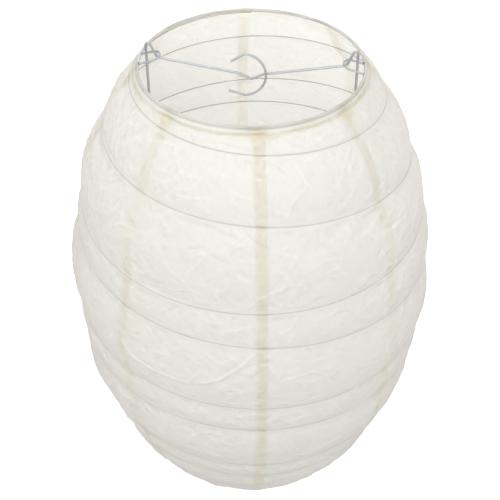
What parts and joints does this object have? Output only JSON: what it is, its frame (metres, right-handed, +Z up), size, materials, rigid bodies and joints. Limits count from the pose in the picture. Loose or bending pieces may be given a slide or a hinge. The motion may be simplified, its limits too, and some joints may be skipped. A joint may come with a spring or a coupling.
{
  "type": "paper lantern",
  "caption": "Barrel-shaped paper lantern on an uneven spiral wire, held open by a sprung wire stretcher with a hook for a lamp; it folds flat.",
  "frame": {"origin": "middle of the circle that the lantern stands on", "axes": "+Z up along the lantern's axis, X roughly along the stretcher, -Y towards the front"},
  "size_m": [0.3518, 0.3518, 0.4931],
  "materials": {
    "paper": "matte handmade rice paper, off-white",
    "ring_wire": "bright drawn steel wire",
    "rib_wire": "thin drawn steel wire",
    "stretcher_wire": "zinc-plated spring wire"
  },
  "bodies": {
    "base": {"bottom_ring": "ring_wire", "bottom_ear_left": "ring_wire", "bottom_ear_right": "ring_wire", "bottom_hem": "paper", "spiral_rib": "rib_wire", "paper_gore_1": "paper", "paper_gore_2": "paper", "paper_gore_3": "paper", "paper_gore_4": "paper", "paper_gore_5": "paper", "paper_gore_6": "paper", "paper_gore_7": "paper", "paper_gore_8": "paper"},
    "top": {"top_ring": "ring_wire", "top_ear_left": "ring_wire", "top_ear_right": "ring_wire", "top_hem": "paper"},
    "stretcher": {"stretcher_wire": "stretcher_wire", "c_hook": "stretcher_wire"}
  },
  "joints": [
    {"name": "fold", "type": "slide", "parent": "base", "child": "top", "axis": [0, 0, -1], "range_m": [0, 0.455], "deforming": ["spiral_rib", "paper_gore_1", "paper_gore_2", "paper_gore_3", "paper_gore_4", "paper_gore_5", "paper_gore_6", "paper_gore_7", "paper_gore_8"]},
    {"name": "stretcher_lift", "type": "slide", "parent": "base", "child": "stretcher", "axis": [0, 0, 1], "range_m": [0, 0.5]}
  ]
}
